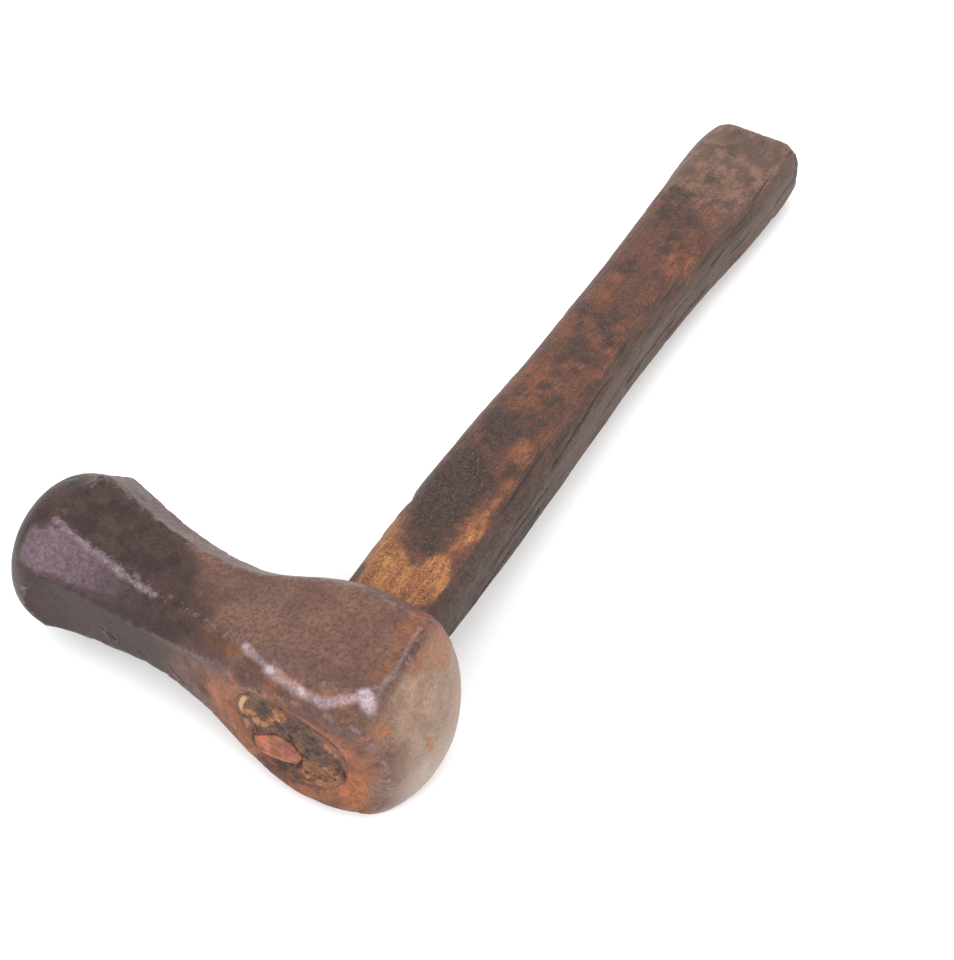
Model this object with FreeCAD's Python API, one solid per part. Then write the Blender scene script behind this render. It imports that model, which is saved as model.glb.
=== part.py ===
import FreeCAD, Part
import math
import os

# A hand-forged hammer lying on its side, in millimetres.
# X runs along the head, with the flared striking face at -X and the domed face at +X.
# Y runs along the handle, from the eye to the butt.  Z is up.
# The origin is on the flat lower cheek of the head, under the middle of the eye.

V = FreeCAD.Vector

# Head: the neck is octagonal, the block around the eye is square with broken corners.
FACE_X = -104.0               # plane of the flat in the middle of the striking face
BLOCK_END_X = 24.6            # where the block's sides begin to turn over into the domed face
DOME_X = 34.7                 # crown of the domed face

# The forged stations along the head, each as
# x, centre in y, centre in z, half width in y, half height in z, leg of the corner chamfers.
HEAD_STATIONS = (
    (FACE_X, 2.2, 23.5, 28.6, 28.6, 16.8),
    (-97.5, 2.6, 23.5, 25.2, 25.2, 14.4),
    (-92.0, 3.1, 23.6, 22.8, 23.6, 12.6),
    (-86.5, 3.1, 23.8, 21.2, 22.0, 11.0),
    (-67.5, 1.5, 24.3, 18.2, 18.0, 8.8),
    (-47.5, -0.2, 24.9, 16.9, 16.2, 7.4),
    (-27.5, -2.1, 25.3, 17.5, 20.0, 6.4),
    (-8.5, -2.5, 25.6, 20.7, 25.3, 5.8),
    (12.5, -2.2, 26.2, 21.3, 27.1, 6.0),
    (BLOCK_END_X, -0.6, 26.3, 19.8, 27.3, 7.0),
    (DOME_X + 2.0, 0.3, 26.3, 18.7, 26.6, 7.2),
)

# Striking face: the rim is round and well rolled over, as an arc of an ellipse from the
# widest place, where the eight facets run out, to the flat in the middle of the face.
RIM_RADIUS = 23.4
RIM_CENTRE_Y = 1.8
RIM_ROLL_LENGTH = 13.0        # along the head
RIM_ROLL_DEPTH = 8.8          # in radius

# Domed face: how far the dome falls away at the middle of a side, and at the square and
# the fourth power of the distance from its crown.
DOME_SIDE_RADIUS = 20.0
DOME_STRETCH_Z = 1.22         # the dome is taller than it is wide
DOME_CENTRE_Y = -0.7
DOME_CENTRE_Z = 24.6
DOME_SQUARE_FALL = 5.2
DOME_FOURTH_FALL = 1.3
DOME_REACH = 2.0              # the dome's curve is drawn out to this many side radii
DOME_CURVE_STEPS = 8

# Eye: an oval hole that is wider at the near cheek, where the wedges spread the wood.
EYE_X = -0.4
EYE_Z = 25.2
EYE_NEAR = (18.6, 16.6)       # half axes in x and z at the near cheek
EYE_FAR = (16.6, 14.6)        # half axes in x and z at the far cheek
EYE_NEAR_Y = -24.5            # just clear of the near cheek
EYE_FAR_Y = 21.0              # just clear of the far cheek

CLEARANCE = 10.0              # how far the cutting bodies reach past the head

# Handle: a rounded rectangle that swells towards the butt and droops until the butt touches
# down.  The grip's stations, each as
# y, centre in x, centre in z, half width in x, half thickness in z, corner radius.
GRIP_STATIONS = (
    (8.0, 0.9, 26.6, 15.2, 12.6, 8.8),
    (48.0, -0.8, 25.1, 15.8, 13.2, 9.2),
    (98.0, -3.2, 22.4, 15.6, 14.0, 9.4),
    (154.0, -6.0, 19.5, 14.7, 14.1, 9.4),
    (210.0, -8.1, 16.7, 15.8, 13.8, 9.6),
    (251.0, -9.3, 14.7, 18.4, 13.3, 9.8),
    (275.0, -10.2, 13.0, 19.1, 12.8, 9.8),
    (290.6, -10.3, 12.0, 17.4, 12.0, 9.4),
)
BUTT_ROUNDING = 7.0
TENON_END_Y = -22.4           # end of the wood that shows in the eye

# Wedges: one saw kerf below the middle of the eye, filled by a wooden wedge, with an iron
# wedge driven down through it.
KERF_Z = 18.8
KERF_DEPTH = 32.0
KERF_MOUTH = 5.0
KERF_ROOT = 1.2
STEEL_X = -3.4
STEEL_WIDTH = 15.6
STEEL_THICKNESS = 9.6
STEEL_TIP_WIDTH = 13.0
STEEL_TIP_THICKNESS = 1.4
STEEL_LENGTH = 24.0
STEEL_PROUD = 0.7             # how far the iron wedge stands out of the wood


def chamfered_section(x, cy, cz, half_y, half_z, leg):
    """Eight-sided wire in the plane at x."""
    inner_y = half_y - leg
    inner_z = half_z - leg
    corners = (
        (half_y, inner_z), (inner_y, half_z), (-inner_y, half_z), (-half_y, inner_z),
        (-half_y, -inner_z), (-inner_y, -half_z), (inner_y, -half_z), (half_y, -inner_z),
    )
    points = [V(x, cy + y, cz + z) for y, z in corners]
    return Part.makePolygon(points + points[:1])


def rounded_section(y, cx, cz, half_x, half_z, radius):
    """Rounded rectangle wire in the plane at y."""
    flat_x = half_x - radius
    flat_z = half_z - radius
    edges = []
    for turn in range(4):
        start = math.pi / 2 * turn
        side_x = 1 if turn in (0, 3) else -1
        side_z = 1 if turn in (0, 1) else -1
        centre = V(cx + side_x * flat_x, y, cz + side_z * flat_z)
        arc = [
            centre + V(radius * math.cos(start + a), 0, radius * math.sin(start + a))
            for a in (0, math.pi / 4, math.pi / 2)
        ]
        if edges:
            edges.append(Part.makeLine(last, arc[0]))
        else:
            first = arc[0]
        edges.append(Part.Arc(*arc).toShape())
        last = arc[2]
    edges.append(Part.makeLine(last, first))
    return Part.Wire(edges)


def oval_section(y, half_x, half_z):
    """Ellipse wire in the plane at y, centred on the eye."""
    centre = V(EYE_X, y, EYE_Z)
    oval = Part.Ellipse(centre + V(half_x, 0, 0), centre + V(0, 0, half_z), centre)
    return Part.Wire(oval.toShape())


def eye_body(start_y, end_y):
    """The inside of the eye between two planes, tapering from the near to the far cheek."""
    ends = []
    for y in (start_y, end_y):
        share = (y - EYE_NEAR_Y) / (EYE_FAR_Y - EYE_NEAR_Y)
        half_x = EYE_NEAR[0] + share * (EYE_FAR[0] - EYE_NEAR[0])
        half_z = EYE_NEAR[1] + share * (EYE_FAR[1] - EYE_NEAR[1])
        ends.append(oval_section(y, half_x, half_z))
    return Part.makeLoft(ends, True, True)


def rim_body():
    """Round body that trims the flare: flat face, rolled rim, then wide open."""
    widest_x = FACE_X + RIM_ROLL_LENGTH
    flat_radius = RIM_RADIUS - RIM_ROLL_DEPTH
    roll_centre = V(widest_x, flat_radius, 0)
    roll = Part.Ellipse(
        roll_centre + V(-RIM_ROLL_LENGTH, 0, 0), roll_centre + V(0, RIM_ROLL_DEPTH, 0), roll_centre
    )
    face_edge = V(FACE_X, flat_radius, 0)
    widest = V(widest_x, RIM_RADIUS, 0)
    start = roll.parameter(face_edge)
    end = roll.parameter(widest)
    arc = Part.ArcOfEllipse(roll, min(start, end), max(start, end)).toShape()
    clear = 3 * RIM_RADIUS
    far_x = DOME_X + CLEARANCE
    outline = [
        Part.makeLine(V(FACE_X, 0, 0), face_edge),
        arc,
        Part.makeLine(widest, V(widest_x, clear, 0)),
        Part.makeLine(V(widest_x, clear, 0), V(far_x, clear, 0)),
        Part.makeLine(V(far_x, clear, 0), V(far_x, 0, 0)),
        Part.makeLine(V(far_x, 0, 0), V(FACE_X, 0, 0)),
    ]
    body = Part.Face(Part.Wire(outline)).revolve(V(0, 0, 0), V(1, 0, 0), 360)
    body.translate(V(0, RIM_CENTRE_Y, RIM_RADIUS))
    return body


def dome_body():
    """Body with the domed face at +X, wide open behind it."""
    points = []
    for step in range(DOME_CURVE_STEPS + 1):
        share = DOME_REACH * step / DOME_CURVE_STEPS
        fall = DOME_SQUARE_FALL * share ** 2 + DOME_FOURTH_FALL * share ** 4
        points.append(V(DOME_X - fall, DOME_SIDE_RADIUS * share, 0))
    curve = Part.BSplineCurve()
    curve.interpolate(points)
    edge = points[-1]
    outer = 2 * edge.y
    back_x = FACE_X - CLEARANCE
    outline = [
        curve.toShape(),
        Part.makeLine(edge, V(edge.x, outer, 0)),
        Part.makeLine(V(edge.x, outer, 0), V(back_x, outer, 0)),
        Part.makeLine(V(back_x, outer, 0), V(back_x, 0, 0)),
        Part.makeLine(V(back_x, 0, 0), points[0]),
    ]
    body = Part.Face(Part.Wire(outline)).revolve(V(0, 0, 0), V(1, 0, 0), 360)
    stretch = FreeCAD.Matrix()
    stretch.scale(1, 1, DOME_STRETCH_Z)
    body = body.transformGeometry(stretch)
    body.translate(V(0, DOME_CENTRE_Y, DOME_CENTRE_Z))
    return body


def head_blank():
    """The head before the eye is punched, flat underneath where it lies."""
    sections = [chamfered_section(*station) for station in HEAD_STATIONS]
    blank = Part.makeLoft(sections, True, False)
    blank = blank.common(rim_body())
    blank = blank.common(dome_body())
    box = blank.BoundBox
    below = Part.makeBox(box.XLength, box.YLength, CLEARANCE, V(box.XMin, box.YMin, -CLEARANCE))
    return blank.cut(below)


def grip_body():
    """The grip from inside the head to the butt, with its end rounded over."""
    grip = Part.makeLoft([rounded_section(*station) for station in GRIP_STATIONS], True, False)
    butt_y = GRIP_STATIONS[-1][0]
    butt_edges = [edge for edge in grip.Edges if edge.BoundBox.YMin > butt_y - 0.01]
    return grip.makeFillet(BUTT_ROUNDING, butt_edges)


def wooden_wedge_body():
    """Thin wedge across the whole eye, tapering along the handle."""
    width = 4 * EYE_NEAR[0]
    mouth = Part.makePolygon(rectangle(TENON_END_Y, EYE_X, KERF_Z, width, KERF_MOUTH))
    root = Part.makePolygon(rectangle(TENON_END_Y + KERF_DEPTH, EYE_X, KERF_Z, width, KERF_ROOT))
    wedge = Part.makeLoft([mouth, root], True, True)
    return wedge.common(eye_body(TENON_END_Y, EYE_FAR_Y))


def steel_wedge_body():
    """Short iron wedge, thick at its head, driven down through the wooden one."""
    head = rectangle(TENON_END_Y - STEEL_PROUD, STEEL_X, KERF_Z, STEEL_WIDTH, STEEL_THICKNESS)
    tip_y = TENON_END_Y - STEEL_PROUD + STEEL_LENGTH
    tip = rectangle(tip_y, STEEL_X, KERF_Z, STEEL_TIP_WIDTH, STEEL_TIP_THICKNESS)
    return Part.makeLoft([Part.makePolygon(head), Part.makePolygon(tip)], True, True)


def rectangle(y, cx, cz, width, thickness):
    """Corners of a closed rectangle in the plane at y."""
    corners = ((-1, -1), (1, -1), (1, 1), (-1, 1), (-1, -1))
    return [V(cx + sx * width / 2, y, cz + sz * thickness / 2) for sx, sz in corners]


def write(name, shape):
    """Writes one node, and prints what it is made of."""
    shape.exportStep("parts/" + name + ".step")
    print(name, "solids", len(shape.Solids), "valid", shape.isValid(), "cm3", round(shape.Volume / 1000, 2))


def main():
    os.makedirs("parts", exist_ok=True)
    blank = head_blank()
    head = blank.cut(eye_body(EYE_NEAR_Y, EYE_FAR_Y))
    tenon = eye_body(TENON_END_Y, EYE_FAR_Y).common(blank)
    handle = grip_body().cut(blank).fuse(tenon).removeSplitter()
    steel_wedge = steel_wedge_body()
    wooden_wedge = wooden_wedge_body()
    handle = handle.cut(wooden_wedge).cut(steel_wedge)
    wooden_wedge = wooden_wedge.cut(steel_wedge)
    write("hammer_head", head)
    write("handle", handle)
    write("wooden_wedge", wooden_wedge)
    write("steel_wedge", steel_wedge)


main()
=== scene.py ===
import math

import bpy
import bmesh
import numpy as np
from mathutils import Matrix, Vector
from mathutils.bvhtree import BVHTree


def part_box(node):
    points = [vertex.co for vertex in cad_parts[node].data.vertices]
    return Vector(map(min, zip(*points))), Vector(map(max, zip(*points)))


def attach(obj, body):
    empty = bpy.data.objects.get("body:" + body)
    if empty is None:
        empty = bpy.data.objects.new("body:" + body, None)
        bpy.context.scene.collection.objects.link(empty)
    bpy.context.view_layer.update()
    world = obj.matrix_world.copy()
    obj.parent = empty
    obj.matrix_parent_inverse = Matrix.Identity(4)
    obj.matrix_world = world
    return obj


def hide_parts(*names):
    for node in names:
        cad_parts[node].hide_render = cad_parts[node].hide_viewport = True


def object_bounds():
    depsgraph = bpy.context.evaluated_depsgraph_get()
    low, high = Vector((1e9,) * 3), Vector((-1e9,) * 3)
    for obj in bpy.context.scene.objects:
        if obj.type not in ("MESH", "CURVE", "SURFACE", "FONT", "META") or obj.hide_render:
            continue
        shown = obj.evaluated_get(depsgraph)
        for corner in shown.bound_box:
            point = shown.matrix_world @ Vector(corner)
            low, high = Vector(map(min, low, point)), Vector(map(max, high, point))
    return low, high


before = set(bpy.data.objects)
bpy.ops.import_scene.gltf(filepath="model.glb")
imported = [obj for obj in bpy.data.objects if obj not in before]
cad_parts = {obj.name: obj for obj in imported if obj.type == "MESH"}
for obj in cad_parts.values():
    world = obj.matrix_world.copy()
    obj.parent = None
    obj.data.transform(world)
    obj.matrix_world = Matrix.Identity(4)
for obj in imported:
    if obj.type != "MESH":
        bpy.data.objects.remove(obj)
cad_low, cad_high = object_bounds()
cad_centre = (Vector(cad_low) + Vector(cad_high)) / 2

# Shapes are worked out in millimetres: x along the head, y along the handle, z up.
MM = 0.001

# A straight line inside the handle, from the eye to the butt.
AXIS_START = (0.9, 8.0, 26.2)
AXIS_END = (-10.3, 290.0, 12.2)

# The tapering oval eye: its middle, and half its width and height at the near and the far cheek.
EYE_X = -0.4
EYE_Z = 25.2
EYE_NEAR = (18.6, 16.6)
EYE_FAR = (16.6, 14.6)
EYE_NEAR_Y = -24.5
EYE_FAR_Y = 21.0

# The ends of the wedges that show in the eye, as (x, z), going round clockwise.
STEEL_OUTLINE = (
    (-12.4, 19.2), (-8.6, 22.4), (-5.6, 24.8), (-2.6, 25.7), (0.3, 24.9), (4.0, 21.4), (3.5, 19.3),
    (1.6, 15.8), (-2.6, 14.2), (-7.4, 13.2), (-11.2, 12.9), (-12.4, 15.6),
)
WOODEN_OUTLINE = (
    (3.4, 21.4), (6.0, 22.2), (10.0, 22.0), (13.6, 20.8), (14.8, 18.4), (12.6, 16.2), (8.0, 15.2),
    (3.2, 15.4),
)

# Camera: degrees round from the front and above the floor, its lens in millimetres, and, in metres,
# how far it stands from the point it looks at and where that point is from the middle of the box.
CAMERA_AZIMUTH = 31.7
CAMERA_ELEVATION = 47.3
CAMERA_ROLL = -0.29
CAMERA_LENS = 70.9
CAMERA_DISTANCE = 0.580
LOOK_FROM_BOX_CENTRE = Vector((0.0250, -0.0439, -0.0068))

# Soft square lights: name, degrees round and above, distance and size in metres, watts.
LIGHTS = (
    ("key", -4, 34, 1.3, 0.45, 8),
    ("fill", 80, 40, 1.5, 1.2, 9),
    ("above", 200, 75, 1.6, 1.4, 8),
)
SKY_STRENGTH = 1.25
FLOOR_HALF_WIDTH = 4.0


# ---------------------------------------------------------------- noise

def hashed(ix, iy, iz, seed):
    """A repeatable number from 0 to 1 for every whole-number cell."""
    with np.errstate(over="ignore"):
        n = (
            ix.astype(np.uint32) * np.uint32(374761393)
            + iy.astype(np.uint32) * np.uint32(668265263)
            + iz.astype(np.uint32) * np.uint32(2246822519)
            + np.uint32(seed * 97 + 13) * np.uint32(3266489917)
        )
        n = (n ^ (n >> np.uint32(13))) * np.uint32(1274126177)
        n = (n ^ (n >> np.uint32(16))) * np.uint32(2654435769)
        n = n ^ (n >> np.uint32(15))
    return (n & np.uint32(0xFFFFFF)).astype(float) / 0xFFFFFF


def value_noise(points, size, seed):
    """Smooth noise from -1 to 1 with blobs about size across; size may be one number or three."""
    p = points / np.asarray(size, float)
    cell = np.floor(p).astype(np.int64)
    f = p - cell
    f = f * f * (3 - 2 * f)
    total = np.zeros(len(p))
    for dx in (0, 1):
        for dy in (0, 1):
            for dz in (0, 1):
                weight = (
                    np.abs(1 - dx - f[:, 0]) * np.abs(1 - dy - f[:, 1]) * np.abs(1 - dz - f[:, 2])
                )
                total += weight * hashed(cell[:, 0] + dx, cell[:, 1] + dy, cell[:, 2] + dz, seed)
    return total * 2 - 1


def fractal(points, size, seed, octaves=4, gain=0.5):
    """Layers of noise, each half the size of the one before."""
    size = np.asarray(size, float)
    total = np.zeros(len(points))
    height = 1.0
    for k in range(octaves):
        total += height * value_noise(points + 31.7 * k, size / 2 ** k, seed + k)
        height *= gain
    return total


def cell_distance(points, size, seed):
    """Distance, in cells, from each point to the nearest of one random point per cell."""
    p = points / size
    cell = np.floor(p).astype(np.int64)
    nearest = np.full(len(p), 9.0)
    for dx in (-1, 0, 1):
        for dy in (-1, 0, 1):
            for dz in (-1, 0, 1):
                cx, cy, cz = cell[:, 0] + dx, cell[:, 1] + dy, cell[:, 2] + dz
                spot = np.stack(
                    [hashed(cx, cy, cz, seed + k) + c for k, c in enumerate((cx, cy, cz))], -1
                )
                nearest = np.minimum(nearest, np.linalg.norm(p - spot, axis=1))
    return nearest


def ease(value, low, high):
    """0 below low, 1 above high, smooth between; low may be the larger of the two."""
    t = np.clip((value - low) / (high - low), 0, 1)
    return t * t * (3 - 2 * t)


def patches(a, b, spots, edge=0.35):
    """The strongest of some soft oval patches, each (a, b, radius in a, radius in b, strength)."""
    total = np.zeros(len(a))
    for ca, cb, ra, rb, strength in spots:
        distance = np.hypot((a - ca) / ra, (b - cb) / rb)
        total = np.maximum(total, strength * ease(distance, 1 + edge, 1 - edge))
    return total


# ---------------------------------------------------------------- mesh helpers

def coordinates(mesh):
    """Every vertex of a mesh, in millimetres."""
    co = np.zeros(len(mesh.vertices) * 3, np.float32)
    mesh.vertices.foreach_get("co", co)
    return co.reshape(-1, 3).astype(float) / MM


def set_coordinates(mesh, points):
    mesh.vertices.foreach_set("co", (points * MM).astype(np.float32).ravel())
    mesh.update()


def normals(mesh):
    """The direction every vertex faces."""
    n = np.zeros(len(mesh.vertices) * 3, np.float32)
    mesh.vertices.foreach_get("normal", n)
    return n.reshape(-1, 3).astype(float)


def edge_pairs(mesh):
    """The two vertices of every edge."""
    e = np.zeros(len(mesh.edges) * 2, np.int32)
    mesh.edges.foreach_get("vertices", e)
    return e.reshape(-1, 2)


def neighbour_mean(values, pairs):
    """The mean of each vertex's neighbours, for one or more columns of values."""
    values = values.reshape(len(values), -1)
    count = np.bincount(pairs.ravel(), minlength=len(values)).astype(float)
    out = np.zeros_like(values)
    for k in range(values.shape[1]):
        out[:, k] = np.bincount(pairs[:, 0], values[pairs[:, 1], k], len(values))
        out[:, k] += np.bincount(pairs[:, 1], values[pairs[:, 0], k], len(values))
    return out / np.maximum(count, 1)[:, None]


def smooth(points, pairs, passes, share):
    """Moves every vertex towards its neighbours' mean; share is a number, or one per vertex."""
    share = np.broadcast_to(share, len(points))[:, None]
    for _ in range(passes):
        points = points + share * (neighbour_mean(points, pairs) - points)
    return points


def relax(points, pairs, passes):
    """Evens out a mesh without shrinking it."""
    for _ in range(passes):
        points = smooth(points, pairs, 1, 0.5)
        points = smooth(points, pairs, 1, -0.53)
    return points


def line_distance(a, b, corners):
    """Distance from each (a, b) to a line through corners."""
    nearest = np.full(len(a), 1e9)
    for (a0, b0), (a1, b1) in zip(corners, corners[1:]):
        da, db = a1 - a0, b1 - b0
        t = np.clip(((a - a0) * da + (b - b0) * db) / (da * da + db * db), 0, 1)
        nearest = np.minimum(nearest, np.hypot(a - a0 - t * da, b - b0 - t * db))
    return nearest


def bulge(points, pairs, normal, passes):
    """How far each vertex stands out of its surroundings, in millimetres."""
    around = points
    for _ in range(passes):
        around = neighbour_mean(around, pairs)
    return ((points - around) * normal).sum(1)


def keep_in_box(points, low, high, inside=0.0):
    """Points held between two corners given in metres, or a little inside them."""
    return np.clip(points, np.array(low) / MM + inside, np.array(high) / MM - inside)


def store(mesh, **fields):
    """Keeps per-vertex numbers on the mesh for its material to read."""
    for name, values in fields.items():
        attribute = mesh.attributes.new(name, "FLOAT", "POINT")
        attribute.data.foreach_set("value", np.clip(values, 0, 1).astype(np.float32))


def linked(name, data):
    """A new object of the scene, from a mesh, a light or a camera."""
    made = bpy.data.objects.new(name, data)
    bpy.context.scene.collection.objects.link(made)
    return made


def voxel_remesh(piece, voxel):
    """Gives a piece an even, closed mesh, with the modifiers it had applied first."""
    remesh = piece.modifiers.new("even", "REMESH")
    remesh.mode = "VOXEL"
    remesh.voxel_size = voxel * MM
    graph = bpy.context.evaluated_depsgraph_get()
    piece.data = bpy.data.meshes.new_from_object(piece.evaluated_get(graph))
    piece.modifiers.clear()
    return piece


def remeshed(name, node, voxel):
    """A new object with an even, closed copy of a CAD node's mesh."""
    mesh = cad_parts[node].data.copy()
    mesh.materials.clear()
    work = bmesh.new()
    work.from_mesh(mesh)
    bmesh.ops.remove_doubles(work, verts=work.verts, dist=1e-6)
    work.to_mesh(mesh)
    work.free()
    return voxel_remesh(linked(name, mesh), voxel)


def finish_piece(piece, node, material):
    """Smooth shading, a material and a place on the root body; the CAD node that the piece stands for is
    hidden.
    """
    piece.data.materials.clear()
    piece.data.materials.append(material)
    for polygon in piece.data.polygons:
        polygon.use_smooth = True
    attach(piece, "root")
    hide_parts(node)


# ---------------------------------------------------------------- hammer head

HEAD_VOXEL = 0.58

# Lines on top of the forging, as (x, y) from above: the near top edge, with a painted highlight on partly
# worn iron; the worn top ridge of the neck; and the dome crease, with painted shade along it and a painted
# highlight beside it.
NEAR_TOP_EDGE = ((-17, -16.2), (-6, -20), (4.5, -21.8), (11.5, -21.7), (16.5, -19.4), (23, -14.2))
TOP_RIDGE = ((-91, -6.4), (-73, -8.6), (-60, -9.6), (-53, -9.8))
DOME_CREASE = ((23.4, 9), (24.2, 2), (24.9, -3), (24.6, -8), (24.4, -12))
DOME_CREASE_EDGE = ((21.6, 10), (22.6, 2), (23.3, -4), (23.4, -9), (23, -14))

# Lines on its near side, as (x, z).
BELOW_TOP_EDGE = ((-40, 35.5), (-28, 38), (-19, 41.5), (-8, 45), (6, 46), (14, 44.5), (21, 42))
SIDE_RIDGE = ((-98, 35), (-80, 34.6), (-60, 34.6), (-42, 36))

# Short slanting cuts in the near side of the neck, each (x, z, half length).
CUTS = ((-68, 21.5, 3.6), (-65.5, 20.8, 3.0), (-43.5, 20, 3.4), (-41.8, 18.8, 3.0))
CUT_SLOPE = (0.8, -0.6)

# Soft oval patches, each (place, place, radius, radius, strength): in x and z on the near cheek,
# in y and z on the domed end, and in x and y on top.
CHEEK_ORANGE = (
    (19.5, 17, 4.0, 9, 0.95), (18, 31, 2.6, 6, 0.6), (2, 41.5, 15, 1.8, 0.5), (-25, 26, 5, 8, 0.55),
    (23, 42, 2.0, 1.6, 0.6),
)
DOME_ORANGE = (
    (13, 46, 8, 5, 0.6), (-6, 29, 1.6, 3.0, 0.7), (-17, 43, 3, 2.2, 0.5), (5, 51, 10, 2.4, 0.5),
)
# Painted highlights on the lower domed end, as (y, z).
DOME_SHINE = ((-8, 20, 1.4, 5, 0.5), (-5, 13, 3, 1.5, 0.45))
TOP_ORANGE = ((19.5, 10, 3.6, 11, 0.48), (21, -6, 1.8, 6, 0.42))
TOP_PURPLE = ((6, -16, 17, 4, 0.45),)
# Painted highlight spots along the near top edge, the last at its corner where the iron is also worn, as
# (x, y).
TOP_EDGE_HIGHLIGHTS = (
    (-16.5, -16.2, 1.2, 0.9, 0.9), (-5.7, -19.9, 2.4, 0.9, 0.85), (5, -21.6, 1.8, 0.8, 0.8),
    (21.5, -15.6, 2.2, 1.8, 1.0),
)


def eye_share(x, z):
    """0 in the middle of the eye's near mouth, 1 on its edge."""
    return np.hypot((x - EYE_X) / EYE_NEAR[0], (z - EYE_Z) / EYE_NEAR[1])


def make_head():
    """The forging: eight facets on the neck, a rolled rim, a square block and a domed face."""
    piece = remeshed("hammer_head_forging", "hammer_head", HEAD_VOXEL)
    mesh = piece.data
    pairs = edge_pairs(mesh)
    p = coordinates(mesh)
    near_eye = ease(eye_share(p[:, 0], p[:, 2]), 1.16, 1.04)
    on_block = ease(p[:, 0], -34, -10) * ease(p[:, 0], 21, 15) * (1 - near_eye)
    p, rolled = worn_round(p, pairs, near_eye, on_block)
    set_coordinates(mesh, p)
    n = normals(mesh)
    ridge = ease(bulge(p, pairs, n, 6), 0.03, 0.12)
    # the photographed head is a little fuller than the CAD solid
    fuller = (0.25 + 0.4 * on_block) * ease(p[:, 0], 30, 24) + 0.4 * rolled
    depth = forged_relief(p, ridge) + fuller
    p = p + n * (depth * (1 - 0.9 * near_eye))[:, None]
    p = keep_in_box(p, *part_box("hammer_head"))
    set_coordinates(mesh, p)
    n = normals(mesh)
    stands_out = bulge(p, pairs, n, 5)
    off_side_ridge = 1 - 0.9 * ease(line_distance(p[:, 0], p[:, 2], SIDE_RIDGE), 4, 2)
    store(
        mesh,
        worn=(1 - 0.8 * near_eye) * ease(stands_out, 0.03, 0.14) * off_side_ridge,
        sunk=ease(-stands_out, 0.03, 0.14),
        **head_fields(p, n),
    )
    finish_piece(piece, "hammer_head", iron_material())
    return piece


def worn_round(p, pairs, near_eye, on_block):
    """Softens the edges of the block, the flare, the dome and the eye; also says where the rim rolls."""
    p = relax(p, pairs, 3)
    p = smooth(p, pairs, 34, 0.5 * on_block)
    rim_top = ease(p[:, 0], -86, -94) * ease(p[:, 2], 28, 40)
    rim_far = ease(p[:, 0], -74, -88) * ease(p[:, 1], 8, 16) * ease(p[:, 2], 26, 36)
    rolled = np.maximum(rim_top, rim_far)
    p = smooth(p, pairs, 24, 0.5 * rolled)
    p = smooth(p, pairs, 6, 0.5 * np.maximum(ease(p[:, 0], 10, 18), near_eye))
    return p, rolled


def forged_relief(p, ridge):
    """How far hammer blows, pits, nicked ridges and cuts move the skin, in millimetres."""
    swell = 0.30 * fractal(p, 24, 3, 3)
    blows = 0.14 * (cell_distance(p, 7.5, 11) - 0.55)
    rough = 0.05 * fractal(p, 2.6, 21, 3)
    pits = ease(value_noise(p, 1.7, 31), 0.45, 0.85) * ease(fractal(p, 11, 41, 2), -0.2, 0.6)
    nicks = ease(value_noise(p, 2.4, 51), 0.0, 0.6) * ridge
    rim = ease(p[:, 0], -88, -94)
    depth = (swell + blows * (1 - 0.6 * rim)) * (1 - 0.5 * rim) + rough
    return depth - (0.14 * pits + 0.26 * nicks + 0.5 * cut_marks(p))


def cut_marks(p):
    """1 in the short cuts in the near side of the neck."""
    x, y, z = p.T
    total = np.zeros(len(p))
    for cx, cz, length in CUTS:
        along = CUT_SLOPE[0] * (x - cx) + CUT_SLOPE[1] * (z - cz)
        across = -CUT_SLOPE[1] * (x - cx) + CUT_SLOPE[0] * (z - cz)
        cut = ease(np.abs(along), length, length * 0.5) * ease(np.abs(across), 0.7, 0.2)
        total = np.maximum(total, cut)
    return total * (y < 0)


def head_fields(p, n):
    """What the iron's material reads, from the place and the way the skin faces."""
    ragged = fractal(p, 9, 61, 4)
    rough = fractal(p, 3, 71, 3)
    below_edge = ease(line_distance(p[:, 0], p[:, 2], BELOW_TOP_EDGE) + 0.8 * rough, 4.6, 1.8)
    below_edge *= ease(p[:, 1], -14, -18)
    return {
        **skin_fields(p, n, ragged, rough),
        **rust_fields(p, n, ragged, below_edge),
        **edge_fields(p, n, rough, below_edge),
    }


def skin_fields(p, n, ragged, rough):
    """Dark scale on the neck, a painted lilac sheen on its front facet, its worn ridge, and the paler
    domed end.
    """
    x, y, z = p.T
    up, front, side = n[:, 2], -n[:, 1], n[:, 0]
    # painted sheen: the lilac highlight that the front-facing chamfer of the neck shows under the key
    # light, fading towards the block
    lilac_sheen_facet = ease(front, 0.35, 0.6) * ease(up, 0.35, 0.6) * ease(x, -99, -96)
    lilac_sheen_facet *= ease(x + 4 * rough, -48, -94)
    ridge_line = ease(line_distance(x, y, TOP_RIDGE) + 0.5 * rough, 1.2, 0.2) * ease(up, 0.4, 0.7)
    return {
        "dark": ease(x + 4 * ragged + 1.1 * y * ease(up, 0.2, 0.8), -32, -58),
        "lilac_sheen_and_ridge": np.maximum(lilac_sheen_facet, 0.6 * ridge_line),
        "ridge_line": ridge_line,
        "crown": ease(side, 0.4, 0.85) * ease(x + 1.5 * ragged, 21.5, 29) * ease(y + 2 * ragged, -21, -9),
        "low": ease(z, 36, 12),
        "shade": ease(up, 0.15, -0.15) * ease(x, -26, -44),
        "far": ease(n[:, 1], 0.25, 0.6) * ease(up, 0.1, 0.4) * ease(x, -22, -36),
    }


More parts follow.
